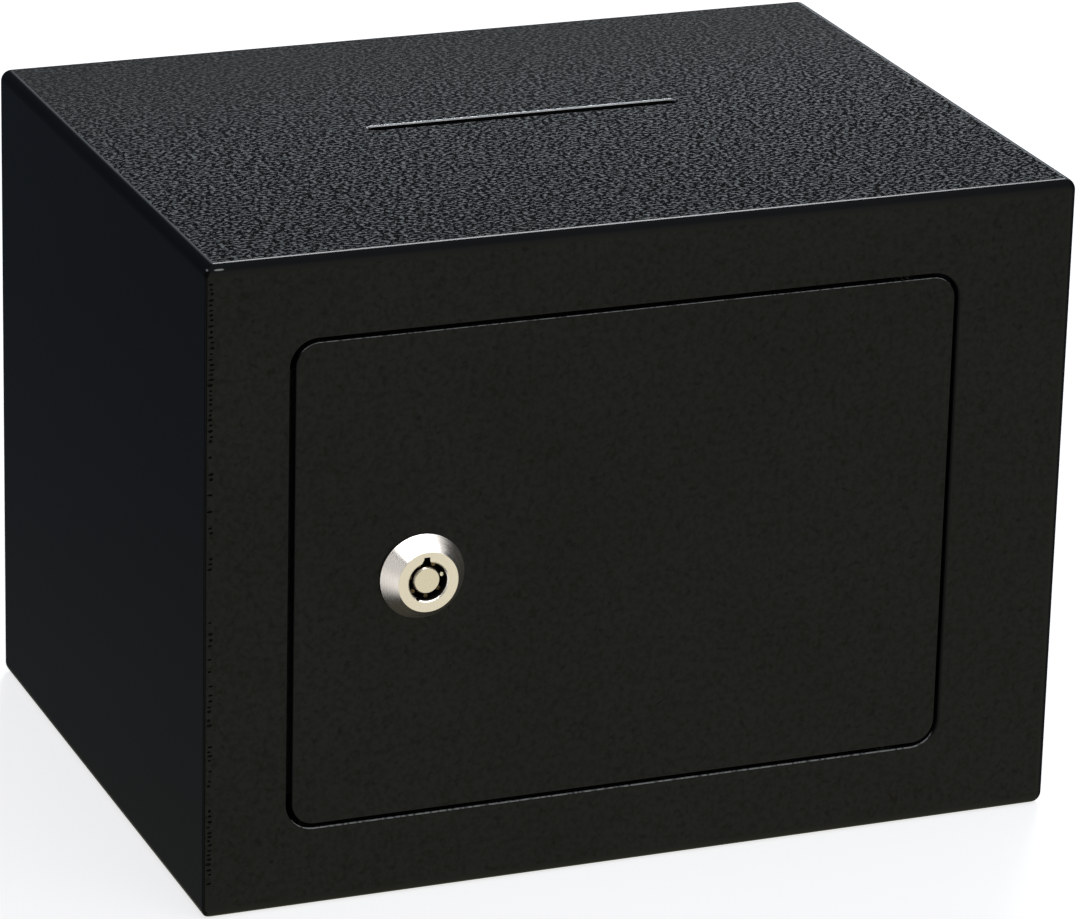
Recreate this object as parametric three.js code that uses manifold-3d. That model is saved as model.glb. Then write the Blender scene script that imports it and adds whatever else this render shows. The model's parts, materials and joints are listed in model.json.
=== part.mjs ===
// Small steel cash safe with a coin slot in its top and a tubular-key lock.
//
// Units are millimetres. +X is the safe's width, +Y runs from the door to the back, and +Z is up.
// The origin is the middle of the underside. Depths named "deep" count back from the front face.

import * as THREE from "three";
import { mergeVertices } from "three/addons/utils/BufferGeometryUtils.js";
import Module from "manifold-3d";

const wasm = await Module();
wasm.setup();

// ---------------------------------------------------------------- driving dimensions

const FIT = 0.3; // free space left between pieces that touch

const BODY = { width: 230, depth: 172, height: 170, sheet: 1.2, bendR: 3, weldR: 1.3 };
const FRONT_Y = -BODY.depth / 2;
const BACK_Y = BODY.depth / 2;

const DOOR = { width: 174, height: 125.8, thick: 3, cornerR: 6, x: -5, z: 85.25 };
const DOOR_GAP = { side: 1.9, end: 1.35, corner: 1.6 };
const DOOR_RIGHT = DOOR.x + DOOR.width / 2;
const APERTURE = {
  width: DOOR.width + 2 * DOOR_GAP.side,
  height: DOOR.height + 2 * DOOR_GAP.end,
  cornerR: DOOR.cornerR + DOOR_GAP.corner,
  flangeDepth: DOOR.thick,
};

const SLOT = { length: 85, width: 4.2, x: 2, y: 7 };

const ANCHOR = { holeR: 5, halfSpacing: 70, backZ: 85, baseY: 0 };
const BACK = { flange: 16, openingR: 4, thick: 1, lap: 4.5, cornerR: 6 };
const MAT = { thick: 2, margin: 2.5, cornerR: 4, holeR: 7 };

const JAMB = { sheet: 1, leg: 10, overlap: 2.5, startX: -89, endX: 56 };

const HINGE = {
  inset: 12, // from the door's right edge to the axis
  deep: 7.5,
  pinR: 2.8,
  boreR: 2.95,
  earThick: 2.5,
  earDrop: 3.65, // from the door's top edge to the ear
  bracketRise: 3.85, // from the door's top edge to the frame bracket
  shoulderR: 4,
  washerThick: 0.6,
};
const HINGE_X = DOOR_RIGHT - HINGE.inset;

const LOCK = {
  x: -59,
  z: 85,
  headR: 11,
  faceR: 7.8,
  proud: 5,
  rim: 0.6,
  barrelR: 9.3,
  barrelEnd: 16,
  mouthR: 5,
  postR: 3.6,
  postSunk: 1,
  notchDeep: 1.5,
  boreR: 6.6,
  shoulder: 2.5,
};
const PIN = { count: 7, r: 0.65, ringR: 4.3, front: -3.1, back: 6, holeR: 0.77, holeEnd: 14 };
const TAIL = { r: 4, flat: 2.9 };
const CAM = { deep: 16.3, thick: 2, hubR: 8, crank: 10, tipR: 4.5, pinR: 2.5 };
const HALF_TURN_SHARE = Math.PI / 4; // the crank stands 45 degrees to either side of upright
const THROW = 2 * CAM.crank * Math.sin(HALF_TURN_SHARE);

const CARRIAGE = { deep: 19.45, thick: 2, left: -66, right: -24, halfHeight: 42, tabHeight: 24 };
const BOLT = { r: 5, deep: 10, offsetZ: 30, tip: -88, neckR: 3 };
const GUIDE = { left: -86, sheet: 1.5, depth: 15, halfHeight: 45, baseWidth: 11.5, bore: 5.3 };
const POST = { x: -46, r: 4, neckR: 2.4, slotR: 2.7, tapR: 1.75 };

// ---------------------------------------------------------------- shapes and solids

// A closed three.js geometry as a solid that can be cut and joined.
function solid(geometry) {
  const bare = geometry.clone();
  bare.deleteAttribute("normal");
  bare.deleteAttribute("uv");
  const merged = mergeVertices(bare, 1e-4);
  return new wasm.Manifold(
    new wasm.Mesh({
      numProp: 3,
      vertProperties: merged.attributes.position.array,
      triVerts: new Uint32Array(merged.index.array),
    }),
  );
}

// The solid's surface as a geometry again.
function surface(body) {
  const { vertProperties, triVerts } = body.getMesh();
  const geometry = new THREE.BufferGeometry();
  geometry.setAttribute("position", new THREE.BufferAttribute(new Float32Array(vertProperties), 3));
  geometry.setIndex(new THREE.BufferAttribute(new Uint32Array(triVerts), 1));
  geometry.computeVertexNormals();
  return geometry;
}

function cut(geometry, ...tools) {
  return surface(tools.reduce((body, tool) => body.subtract(solid(tool)), solid(geometry)));
}

function join(geometry, ...more) {
  return surface(more.reduce((body, other) => body.add(solid(other)), solid(geometry)));
}

// A rectangle with round corners, centred on (x, y). lowLeftR is for a lower left corner that differs.
function roundedRect(width, height, r, x = 0, y = 0, lowLeftR = r) {
  const [right, top] = [width / 2, height / 2];
  const shape = new THREE.Shape();
  shape.absarc(x + right - r, y + top - r, r, 0, Math.PI / 2);
  shape.absarc(x - right + r, y + top - r, r, Math.PI / 2, Math.PI);
  shape.absarc(x - right + lowLeftR, y - top + lowLeftR, lowLeftR, Math.PI, 1.5 * Math.PI);
  shape.absarc(x + right - r, y - top + r, r, 1.5 * Math.PI, 2 * Math.PI);
  shape.closePath();
  return shape;
}

function outline(points) {
  return new THREE.Shape(points.map(([x, y]) => new THREE.Vector2(x, y)));
}

function circle(r, x = 0, y = 0) {
  return new THREE.Shape().absarc(x, y, r, 0, Math.PI).absarc(x, y, r, Math.PI, 2 * Math.PI);
}

const [X, Y, Z] = [
  new THREE.Vector3(1, 0, 0),
  new THREE.Vector3(0, 1, 0),
  new THREE.Vector3(0, 0, 1),
];

// A shape drawn in X and Y, extruded up Z from z = 0.
function extrudeZ(shape, length, curveSegments = 8) {
  return new THREE.ExtrudeGeometry(shape, { depth: length, bevelEnabled: false, curveSegments });
}

// A shape drawn in Y and Z, extruded along X from x = 0.
function extrudeX(shape, length, curveSegments = 8) {
  const turn = new THREE.Matrix4().makeBasis(Y, Z, X);
  return extrudeZ(shape, length, curveSegments).applyMatrix4(turn);
}

// A shape drawn in X and Z, as an upright plate from y = 0 back to y = length.
function extrudeY(shape, length, curveSegments = 8) {
  const geometry = extrudeZ(shape, length, curveSegments);
  return geometry.rotateX(Math.PI / 2).translate(0, length, 0);
}

// A round solid about Y. The profile lists [radius, y] and closes on itself or starts and ends on the axis.
function turned(profile, segments = 24) {
  return new THREE.LatheGeometry(profile.map(([r, y]) => new THREE.Vector2(r, y)), segments);
}

function rod(r, from, to, segments = 24) {
  return new THREE.CylinderGeometry(r, r, to - from, segments).translate(0, (from + to) / 2, 0);
}

function tube(outerR, innerR, from, to, segments = 24) {
  return turned(
    [
      [innerR, from],
      [outerR, from],
      [outerR, to],
      [innerR, to],
      [innerR, from],
    ],
    segments,
  );
}

function box(x0, x1, y0, y1, z0, z1) {
  const geometry = new THREE.BoxGeometry(x1 - x0, y1 - y0, z1 - z0);
  return geometry.translate((x0 + x1) / 2, (y0 + y1) / 2, (z0 + z1) / 2);
}

// ---------------------------------------------------------------- materials

function finish(color, roughness, metalness) {
  return new THREE.MeshStandardMaterial({ color, roughness, metalness });
}

const BLACK_PAINT = finish(0x1d1e1c, 0.5, 0.1);
const CHROME = finish(0xd8d6cc, 0.25, 1);
const NICKEL = finish(0xc9c1a8, 0.3, 1);
const ZINC = finish(0xb4b8bb, 0.4, 1);
const STEEL = finish(0xa2a5a8, 0.35, 1);
const BRASS = finish(0xc2a25a, 0.35, 1);
const NYLON = finish(0xe2e0d6, 0.5, 0);
const FELT = finish(0x3b3d40, 1, 0);

function piece(name, geometry, material) {
  const mesh = new THREE.Mesh(geometry, material);
  mesh.name = name;
  return mesh;
}

function place(object, x, y, z) {
  object.position.set(x, y, z);
  return object;
}

// ---------------------------------------------------------------- cabinet

// The outside of the folded box, or the inside of its sheet once shrunk by the sheet's thickness.
// Its upright front left corner is a welded one, sharper than the bends.
function foldedBlock(shrink) {
  const [width, depth, height] = [BODY.width, BODY.depth, BODY.height].map((size) => size - 2 * shrink);
  const bendR = BODY.bendR - shrink;
  const weldR = Math.max(BODY.weldR - shrink, 0.3);
  const segments = 4;
  const plan = extrudeZ(roundedRect(width, depth, bendR, 0, 0, weldR), height, segments);
  const front = extrudeY(roundedRect(width, height, bendR), depth, segments);
  const side = extrudeX(roundedRect(depth, height, bendR), width, segments);
  return solid(plan.translate(0, 0, -height / 2))
    .intersect(solid(front.translate(0, -depth / 2, 0)))
    .intersect(solid(side.translate(-width / 2, 0, 0)));
}

// Folded and welded box with the doorway, the coin slot, the rear opening and the base anchor holes.
function bodyShell() {
  const toolLength = 8;
  const middle = BODY.height / 2;
  const { flange, openingR } = BACK;
  const doorway = (grow, length) =>
    extrudeY(
      roundedRect(
        APERTURE.width + 2 * grow,
        APERTURE.height + 2 * grow,
        APERTURE.cornerR + grow,
        DOOR.x,
        DOOR.z - middle,
      ),
      length,
      6,
    );
  const rearOpening = roundedRect(BODY.width - 2 * flange, BODY.height - 2 * flange, openingR);
  const slot = roundedRect(SLOT.length, SLOT.width, SLOT.width / 2 - 0.01, SLOT.x, SLOT.y);
  const anchorHoles = [-1, 1].map((side) => {
    const hole = extrudeZ(circle(ANCHOR.holeR, side * ANCHOR.halfSpacing, ANCHOR.baseY), toolLength, 4);
    return hole.translate(0, 0, -middle - toolLength / 2);
  });
  const tools = [
    doorway(0, toolLength).translate(0, FRONT_Y - 1, 0),
    extrudeY(rearOpening, toolLength, 3).translate(0, BACK_Y - toolLength / 2, 0),
    extrudeZ(slot, toolLength, 6).translate(0, 0, middle - toolLength / 2),
    ...anchorHoles,
  ];
  const inward = APERTURE.flangeDepth - 0.5;
  const doorwayFlange = doorway(BODY.sheet, inward).translate(0, FRONT_Y + 0.5, 0);
  const walls = foldedBlock(0).subtract(foldedBlock(BODY.sheet)).add(solid(doorwayFlange));
  const shell = tools.reduce((body, tool) => body.subtract(solid(tool)), walls);
  return place(piece("body_shell", surface(shell), BLACK_PAINT), 0, 0, middle);
}

// Plate welded inside the rear flange, with the two wall-anchor holes.
function backPanel() {
  const { flange, thick, lap } = BACK;
  const shape = roundedRect(
    BODY.width - 2 * flange + 2 * lap,
    BODY.height - 2 * flange + 2 * lap,
    BACK.cornerR,
    0,
    BODY.height / 2,
  );
  for (const side of [-1, 1]) {
    shape.holes.push(circle(ANCHOR.holeR, side * ANCHOR.halfSpacing, ANCHOR.backZ));
  }
  const y = BACK_Y - BODY.sheet - FIT - thick;
  return place(piece("back_panel", extrudeY(shape, thick, 4), BLACK_PAINT), 0, y, 0);
}

function floorMat() {
  const inner = (length) => length - 2 * (BODY.sheet + MAT.margin);
  const shape = roundedRect(inner(BODY.width), inner(BODY.depth), MAT.cornerR);
  for (const side of [-1, 1]) {
    shape.holes.push(circle(MAT.holeR, side * ANCHOR.halfSpacing, ANCHOR.baseY));
  }
  const geometry = extrudeZ(shape, MAT.thick, 4);
  return place(piece("floor_mat", geometry, FELT), 0, 0, BODY.sheet + FIT);
}

// Joggled strip section: one leg lies on the back of the front sheet, and the other is the door's stop.
// u runs away from the doorway's edge and v runs back from the front face.
function jambSection(edgeGap) {
  const { sheet, leg, overlap } = JAMB;
  const clear = BODY.sheet + FIT;
  const stop = DOOR.thick + FIT;
  const lip = edgeGap + overlap;
  return [
    [leg, clear],
    [leg, clear + sheet],
    [clear + sheet, clear + sheet],
    [clear + sheet, stop + sheet],
    [-lip, stop + sheet],
    [-lip, stop],
    [clear, stop],
    [clear, clear],
  ];
}

// Stops above and below the door.
function jambEnd(name, side) {
  const section = jambSection(DOOR_GAP.end).map(([u, v]) => [v, side * u]);
  const shape = outline(side > 0 ? section.reverse() : section);
  const geometry = extrudeX(shape, JAMB.endX - JAMB.startX);
  const z = DOOR.z + (side * APERTURE.height) / 2;
  return place(piece(name, geometry, BLACK_PAINT), JAMB.startX, FRONT_Y, z);
}

// Stop on the lock side, behind which the bolts catch.
function jambLockSide() {
  const section = jambSection(DOOR_GAP.side).map(([u, v]) => [-u, v]);
  const height = APERTURE.height - 2 * APERTURE.cornerR - 2;
  const geometry = extrudeZ(outline(section), height);
  const x = DOOR.x - APERTURE.width / 2;
  return place(piece("jamb_lock_side", geometry, BLACK_PAINT), x, FRONT_Y, DOOR.z - height / 2);
}

// Angle bracket behind the front sheet that takes a hinge pin. side is 1 for the upper one.
function hingeBracket(name, side) {
  const { earThick: thick, deep, boreR } = HINGE;
  const front = BODY.sheet + FIT;
  const halfWidth = 9;
  const angle = join(
    box(-halfWidth, halfWidth, front, deep, 0, thick),
    extrudeZ(circle(halfWidth, 0, deep), thick, 5),
    box(-halfWidth, halfWidth, front, front + thick, 0, 12),
  );
  const geometry = cut(
    angle,
    extrudeZ(circle(boreR, 0, deep), 3 * thick, 5).translate(0, 0, -thick),
    box(-2 * halfWidth, 2 * halfWidth, front - halfWidth, front, -1, 13),
  );
  const mesh = piece(name, geometry, BLACK_PAINT);
  if (side < 0) mesh.rotation.y = Math.PI;
  return place(mesh, HINGE_X, FRONT_Y, DOOR.z + side * (DOOR.height / 2 + HINGE.bracketRise));
}

// ---------------------------------------------------------------- door

function doorPlate() {
  const shape = roundedRect(DOOR.width, DOOR.height, DOOR.cornerR, DOOR.x, DOOR.z);
  shape.holes.push(circle(LOCK.barrelR + FIT, LOCK.x, LOCK.z));
  return place(piece("door_plate", extrudeY(shape, DOOR.thick, 6), BLACK_PAINT), 0, FRONT_Y, 0);
}

// Angle bracket welded to the back of the door, with a window for the pin's head.
// side is 1 for the upper one.
function hingeEar(name, side) {
  const { earThick: thick, deep, boreR, shoulderR } = HINGE;
  const front = DOOR.thick + FIT;
  const halfWidth = 8;
  const angle = join(
    box(-halfWidth, halfWidth, front, deep, -thick, 0),
    extrudeZ(circle(halfWidth, 0, deep), thick, 5).translate(0, 0, -thick),
    box(-halfWidth, halfWidth, front, front + 2, -16, 0),
  );
  const geometry = cut(
    angle,
    extrudeZ(circle(boreR, 0, deep), 3 * thick, 5).translate(0, 0, -2 * thick),
    extrudeZ(circle(shoulderR + 0.8, 0, deep), 3.5, 5).translate(0, 0, -thick - 3.5),
    box(-2 * halfWidth, 2 * halfWidth, front - halfWidth, front, -20, 2),
  );
  const mesh = piece(name, geometry, BLACK_PAINT);
  if (side < 0) mesh.rotation.y = Math.PI;
  return place(mesh, HINGE_X, FRONT_Y, DOOR.z + side * (DOOR.height / 2 - HINGE.earDrop));
}

// Pin with a head under the ear and a shoulder between the ear and the bracket.
function hingePin(name, side) {
  const { pinR, shoulderR, earThick, earDrop, bracketRise, washerThick } = HINGE;
  const reach = earDrop + bracketRise;
  const geometry = turned(
    [
      [0, -earThick - 2],
      [shoulderR - 0.4, -earThick - 2],
      [shoulderR, -earThick - 1.6],
      [shoulderR, -earThick - FIT / 2],
      [pinR, -earThick - FIT / 2],
      [pinR, FIT / 2],
      [shoulderR, FIT / 2],
      [shoulderR, reach - washerThick - FIT],
      [pinR, reach - washerThick - FIT],
      [pinR, reach + earThick + 2.5],
      [pinR - 0.6, reach + earThick + 3.1],
      [0, reach + earThick + 3.1],
    ],
    24,
  );
  const mesh = piece(name, geometry, STEEL);
  mesh.rotation.x = (side * Math.PI) / 2;
  const z = DOOR.z + side * (DOOR.height / 2 - earDrop);
  return place(mesh, HINGE_X, FRONT_Y + HINGE.deep, z);
}

function hingeWasher(name, side) {
  const { shoulderR, pinR, washerThick, bracketRise, deep } = HINGE;
  const mesh = piece(name, tube(shoulderR + 0.8, pinR + 0.2, 0, washerThick, 24), NYLON);
  mesh.rotation.x = (side * Math.PI) / 2;
  const offset = DOOR.height / 2 + bracketRise - washerThick - FIT / 2;
  return place(mesh, HINGE_X, FRONT_Y + deep, DOOR.z + side * offset);
}

// Angle along the door's free edge, whose standing leg guides both bolts.
function boltGuide() {
  const { left, sheet, depth, halfHeight, baseWidth, bore } = GUIDE;
  const front = DOOR.thick + FIT;
  const angle = outline([
    [left, front],
    [left + baseWidth, front],
    [left + baseWidth, front + sheet],
    [left + sheet, front + sheet],
    [left + sheet, front + depth],
    [left, front + depth],
  ]);
  const bores = [-1, 1].map((side) =>
    rod(bore, -6, 6)
      .rotateZ(Math.PI / 2)
      .translate(left, BOLT.deep, halfHeight + side * BOLT.offsetZ),
  );
  const geometry = cut(extrudeZ(angle, 2 * halfHeight), ...bores);
  return place(piece("bolt_guide", geometry, ZINC), 0, FRONT_Y, LOCK.z - halfHeight);
}

// Post that carries the carriage, with the washer and screw that hold it on.
function carriagePost(suffix, side) {
  const { r, neckR, tapR } = POST;
  const seat = CARRIAGE.deep - 0.25;
  const neckEnd = CARRIAGE.deep + CARRIAGE.thick + 0.2;
  const group = new THREE.Group();
  const post = turned([
    [0, DOOR.thick + FIT],
    [r, DOOR.thick + FIT],
    [r, seat],
    [neckR, seat],
    [neckR, neckEnd],
    [tapR, neckEnd],
    [tapR, neckEnd - 7],
    [0, neckEnd - 7],
  ]);
  const washerFront = neckEnd + 0.05;
  const screwSeat = washerFront + 1.05;
  const screw = turned([
    [0, neckEnd - 6],
    [tapR - 0.15, neckEnd - 6],
    [tapR - 0.15, screwSeat],
    [3.6, screwSeat],
    [3.6, screwSeat + 1],
    [2.6, screwSeat + 2.2],
    [0, screwSeat + 2.6],
  ]);
  const recess = 1.2;
  const cross = [0, Math.PI / 2].map((angle) =>
    box(-2.2, 2.2, 0, 4, -0.4, 0.4)
      .rotateY(angle)
      .translate(0, screwSeat + 2.6 - recess, 0),
  );
  group.add(
    piece("carriage_post_" + suffix, post, ZINC),
    piece("carriage_washer_" + suffix, tube(6, 2.1, washerFront, washerFront + 1), ZINC),
    piece("carriage_screw_" + suffix, cut(screw, ...cross), ZINC),
  );
  return place(group, POST.x, FRONT_Y, LOCK.z + side * BOLT.offsetZ);
}

// ---------------------------------------------------------------- lock

// Bevelled head and threaded barrel in one, with the ring-shaped keyway's outer wall and its notch.
function lockHousing() {
  const { headR, faceR, proud, rim, barrelR, barrelEnd, mouthR, boreR, shoulder } = LOCK;
  const body = turned(
    [
      [mouthR, -proud + 0.3],
      [mouthR + 0.3, -proud],
      [faceR - 0.2, -proud],
      [faceR, -proud + 0.2],
      [headR, -rim],
      [headR, -FIT / 3],
      [barrelR, -FIT / 3],
      [barrelR, barrelEnd - 0.5],
      [barrelR - 0.5, barrelEnd],
      [boreR, barrelEnd],
      [boreR, shoulder],
      [mouthR, shoulder],
      [mouthR, -proud + 0.3],
    ],
    48,
  );
  const notch = box(-0.8, 0.8, -proud - 1, -1, mouthR - 0.6, mouthR + LOCK.notchDeep);
  return piece("lock_housing", cut(body, notch), CHROME);
}

function lockNut() {
  const acrossCorners = 12.6;
  const hexagon = new THREE.Shape();
  for (let corner = 0; corner < 6; corner += 1) {
    const angle = (corner * Math.PI) / 3;
    const [x, y] = [acrossCorners * Math.cos(angle), acrossCorners * Math.sin(angle)];
    if (corner === 0) hexagon.moveTo(x, y);
    else hexagon.lineTo(x, y);
  }
  hexagon.closePath();
  hexagon.holes.push(circle(LOCK.barrelR + 0.15));
  const front = DOOR.thick + FIT + 1.3;
  return piece("lock_nut", extrudeY(hexagon, 3.2, 6).translate(0, front, 0), ZINC);
}

function lockWasher() {
  const front = DOOR.thick + FIT;
  return piece("lock_washer", tube(12, LOCK.barrelR + 0.2, front, front + 1), ZINC);
}

function lockRetainer() {
  const { barrelEnd, boreR } = LOCK;
  return piece("lock_retaining_ring", tube(boreR - 0.1, 4.6, barrelEnd - 0.9, barrelEnd - 0.1), STEEL);
}

function pinAngle(index) {
  return ((index + 0.5) * 2 * Math.PI) / PIN.count;
}

function aroundKeyway(geometry, index) {
  const angle = pinAngle(index);
  return geometry.translate(PIN.ringR * Math.sin(angle), 0, PIN.ringR * Math.cos(angle));
}

// Rotor: the round post in the keyway, the body with its pin holes, and the flatted tail for the cam.
function lockSpindle() {
  const { postR, postSunk, shoulder, boreR, barrelEnd, proud } = LOCK;
  const postFront = postSunk - proud;
  const front = shoulder + 0.2;
  const back = barrelEnd - 1.1;
  const tailEnd = CAM.deep + CAM.thick - 0.1;
  const bodyR = boreR - 0.2;
  const rotor = turned(
    [
      [0, postFront],
      [postR - 0.5, postFront],
      [postR, postFront + 0.5],
      [postR, front],
      [bodyR, front],
      [bodyR, back],
      [TAIL.r, back],
      [TAIL.r, tailEnd],
      [1.6, tailEnd],
      [1.6, tailEnd - 9],
      [0, tailEnd - 9],
    ],
    32,
  );
  const holes = Array.from({ length: PIN.count }, (_, index) =>
    aroundKeyway(rod(PIN.holeR, front - 1, PIN.holeEnd, 10), index),
  );
  const flats = [-1, 1].map((side) => {
    const flat = box(-2, 2, CAM.deep - 0.2, tailEnd + 1, -6, 6).translate(side * (TAIL.flat + 2), 0, 0);
    return flat.rotateY(HALF_TURN_SHARE);
  });
  return piece("lock_spindle", cut(rotor, ...holes, ...flats), NICKEL);
}

function cam() {
  const { deep, thick, hubR, crank, tipR } = CAM;
  const hub = extrudeY(circle(hubR), thick, 6);
  const tip = extrudeY(circle(tipR, 0, crank), thick, 6);
  const arm = box(-tipR, tipR, 0, thick, 0, crank);
  const bore = new THREE.Shape();
  const halfFlat = TAIL.flat + 0.15;
  const boreR = TAIL.r + 0.15;
  const flatAngle = Math.acos(halfFlat / boreR);
  bore.absarc(0, 0, boreR, flatAngle, Math.PI - flatAngle);
  bore.absarc(0, 0, boreR, Math.PI + flatAngle, 2 * Math.PI - flatAngle);
  bore.closePath();
  const rivetHole = rod(1.65, -1, thick + 1, 16).translate(0, 0, crank);
  const geometry = cut(
    join(hub, tip, arm),
    extrudeY(bore, thick + 2, 4).translate(0, -1, 0),
    rivetHole,
  );
  return piece("cam", geometry.translate(0, deep, 0), ZINC);
}

// Riveted pin that drives the carriage.
function camPin() {
  const { deep, thick, crank, pinR } = CAM;
  const geometry = turned(
    [
      [0, deep + 0.05],
      [1.5, deep + 0.05],
      [1.5, deep + thick + 0.1],
      [pinR, deep + thick + 0.1],
      [pinR, deep + thick + 4],
      [pinR - 0.4, deep + thick + 4.4],
      [0, deep + thick + 4.4],
    ],
    28,
  );
  return piece("cam_pin", geometry.translate(0, 0, crank), STEEL);
}

function camWasher() {
  const front = CAM.deep + CAM.thick + 0.05;
  return piece("cam_washer", tube(4.8, 1.8, front, front + 0.6, 28), ZINC);
}

function camScrew() {
  const seat = CAM.deep + CAM.thick + 0.7;
  const shank = turned(
    [
      [0, seat - 8],
      [1.45, seat - 8],
      [1.45, seat],
      [3.5, seat],
      [3.5, seat + 1.2],
      [2.6, seat + 2.2],
      [0, seat + 2.5],
    ],
    28,
  );
  const slot = box(-5, 5, seat + 1.4, seat + 4, -0.5, 0.5);
  return piece("cam_screw", cut(shank, slot), ZINC);
}

function lockPin(index) {
  const { r, front, back } = PIN;
  const geometry = turned(
    [
      [0, front],
      [r - 0.15, front],
      [r, front + 0.15],
      [r, back],
      [0, back],
    ],
    12,
  );
  return piece("lock_pin_" + (index + 1), aroundKeyway(geometry, index), index % 2 ? NICKEL : BRASS);
}

class Helix extends THREE.Curve {
  constructor(radius, length, turns) {
    super();
    Object.assign(this, { radius, length, turns });
  }

  getPoint(t, target = new THREE.Vector3()) {
    const angle = 2 * Math.PI * this.turns * t;
    return target.set(this.radius * Math.cos(angle), this.length * t, this.radius * Math.sin(angle));
  }
}

// Compression spring behind a lock pin.
function pinSpring(index) {
  const wire = 0.13; // half the wire's thickness
  const gap = 0.15;
  const turns = 5;
  const stepsPerTurn = 6;
  const start = PIN.back + wire + gap;
  const length = PIN.holeEnd - wire - gap - start;
  const section = outline([
    [wire, 0],
    [0, wire],
    [-wire, 0],
    [0, -wire],
  ]);
  const geometry = new THREE.ExtrudeGeometry(section, {
    steps: turns * stepsPerTurn,
    bevelEnabled: false,
    extrudePath: new Helix(PIN.r - wire - 0.02, length, turns),
  });
  return piece("pin_spring_" + (index + 1), aroundKeyway(geometry.translate(0, start, 0), index), STEEL);
}

// ---------------------------------------------------------------- bolt work

// Plate behind the cam, with two tabs folded towards the door that hold the bolts.
function boltCarriage() {
  const { deep, thick, left, right, halfHeight, tabHeight } = CARRIAGE;
  const plate = roundedRect(right - left, 2 * halfHeight, 3, (left + right) / 2, 0);
  const tabFront = DOOR.thick + GUIDE.sheet + 2 * FIT;
  const tabs = [-1, 1].map((side) => {
    const middle = side * (halfHeight - tabHeight / 2);
    const [low, high] = [middle - tabHeight / 2, middle + tabHeight / 2];
    return box(left, left + thick, tabFront, deep + thick, low, high);
  });
  const wall = 0.45; // each side of the drive pin
  const rest = LOCK.x + CAM.crank * Math.sin(HALF_TURN_SHARE);
  const slotHalf = CAM.pinR + wall;
  const driveSlot = roundedRect(2 * slotHalf, 13, slotHalf - 0.01, rest, 7.5);
  const windowHalf = 4.3;
  const screwWindow = roundedRect(2 * windowHalf + THROW, 2 * windowHalf, 4, LOCK.x + THROW / 2, 0);
  const through = (shape) => extrudeY(shape, 4 * thick, 5).translate(0, deep - thick, 0);
  const runners = [-1, 1].map((side) => {
    const length = THROW + 2 * POST.slotR + 0.6;
    const x = POST.x + THROW / 2;
    return through(roundedRect(length, 2 * POST.slotR, POST.slotR - 0.01, x, side * BOLT.offsetZ));
  });
  const necks = [-1, 1].map((side) =>
    rod(BOLT.neckR + 0.15, -5, 5)
      .rotateZ(Math.PI / 2)
      .translate(left, BOLT.deep, side * BOLT.offsetZ),
  );
  const geometry = cut(
    join(extrudeY(plate, thick, 6).translate(0, deep, 0), ...tabs),
    through(driveSlot),
    through(screwWindow),
    ...runners,
    ...necks,
  );
  return place(piece("bolt_carriage", geometry, ZINC), 0, FRONT_Y, LOCK.z);
}

// Round live bolt with a neck through the carriage's tab.
function deadbolt(suffix, side) {
  const { r, neckR, tip } = BOLT;
  const shoulder = CARRIAGE.left - tip - 0.1;
  const neckEnd = shoulder + CARRIAGE.thick + 2.6;
  const geometry = turned([
    [0, 0],
    [r - 1, 0],
    [r, 1],
    [r, shoulder],
    [neckR, shoulder],
    [neckR, neckEnd],
    [0, neckEnd],
  ]);
  const clip = tube(4.6, neckR + 0.1, shoulder + CARRIAGE.thick + 0.3, shoulder + CARRIAGE.thick + 1.3);
  const group = new THREE.Group();
  group.add(
    piece("deadbolt_" + suffix, geometry, CHROME),
    piece("deadbolt_clip_" + suffix, clip, ZINC),
  );
  group.rotation.z = -Math.PI / 2;
  return place(group, tip, FRONT_Y + BOLT.deep, LOCK.z + side * BOLT.offsetZ);
}

// ---------------------------------------------------------------- assembly

function cabinet() {
  const group = new THREE.Group();
  group.add(
    bodyShell(),
    backPanel(),
    floorMat(),
    jambEnd("jamb_top", 1),
    jambEnd("jamb_bottom", -1),
    jambLockSide(),
    hingeBracket("hinge_bracket_upper", 1),
    hingeBracket("hinge_bracket_lower", -1),
  );
  return group;
}

function door() {
  const group = new THREE.Group();
  group.add(doorPlate(), boltGuide());
  for (const [suffix, side] of [
    ["upper", 1],
    ["lower", -1],
  ]) {
    group.add(
      hingeEar("hinge_ear_" + suffix, side),
      hingePin("hinge_pin_" + suffix, side),
      hingeWasher("hinge_washer_" + suffix, side),
      carriagePost(suffix, side),
      deadbolt(suffix, side),
    );
  }
  group.add(boltCarriage());
  return group;
}

function lock() {
  const group = new THREE.Group();
  group.add(lockHousing(), lockWasher(), lockNut(), lockRetainer(), lockSpindle());
  for (let index = 0; index < PIN.count; index += 1) {
    group.add(lockPin(index), pinSpring(index));
  }
  const crank = new THREE.Group();
  crank.rotation.y = HALF_TURN_SHARE;
  crank.add(cam(), camPin(), camWasher(), camScrew());
  group.add(crank);
  return place(group, LOCK.x, FRONT_Y, LOCK.z);
}

const safe = new THREE.Group();
safe.add(cabinet(), door(), lock());

export default safe;
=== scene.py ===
"""Looks of a small steel cash safe with a coin slot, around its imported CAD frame.

Everything is in metres in the part's frame: +X is the width, +Y runs from the door to the back, +Z is up.
"""

import json
import math
import random

import bmesh
import bpy
import mathutils.noise
from mathutils import Matrix, Vector


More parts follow.
